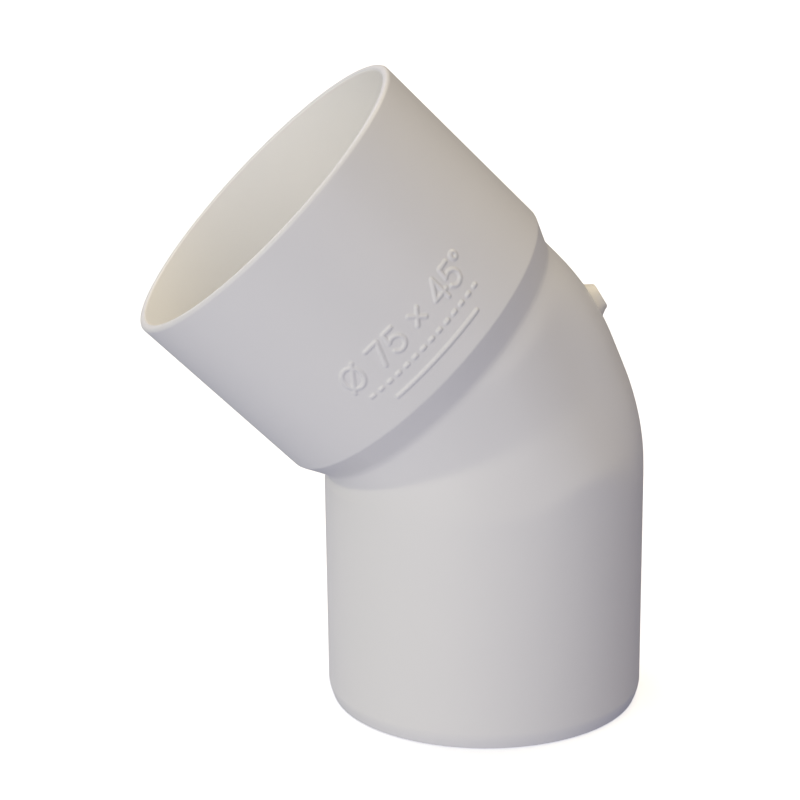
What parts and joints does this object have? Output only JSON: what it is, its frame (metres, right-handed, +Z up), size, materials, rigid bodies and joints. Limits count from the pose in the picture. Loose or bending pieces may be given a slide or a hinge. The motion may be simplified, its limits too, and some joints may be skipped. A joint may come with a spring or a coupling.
{
  "type": "pipe elbow",
  "caption": "White PVC pipe elbow with a 45 degree bend: a wider bell socket on one end and a plain spigot with a lead-in edge on the other.",
  "frame": {"origin": "bottom centre of the bounding box: the spigot's cut end lies at Z = 0, and the spigot's axis stands at X = 0.02067, Y = 0", "axes": "+Z up the spigot's axis, -X towards the side that the socket leans to, and the XZ plane is the elbow's mirror plane; the two axes cross at X = 0.02067, Z = 0.071"},
  "size_m": [0.1164, 0.0792, 0.1498],
  "materials": {
    "pvc_body": "satin white rigid PVC, as moulded",
    "gate_pvc": "cut and slightly yellowed PVC, a little rougher"
  },
  "bodies": {
    "root": {"socket_bell": "pvc_body", "socket_shoulder": "pvc_body", "bend_body": "pvc_body", "spigot": "pvc_body", "gate_stub": "gate_pvc"}
  },
  "joints": []
}
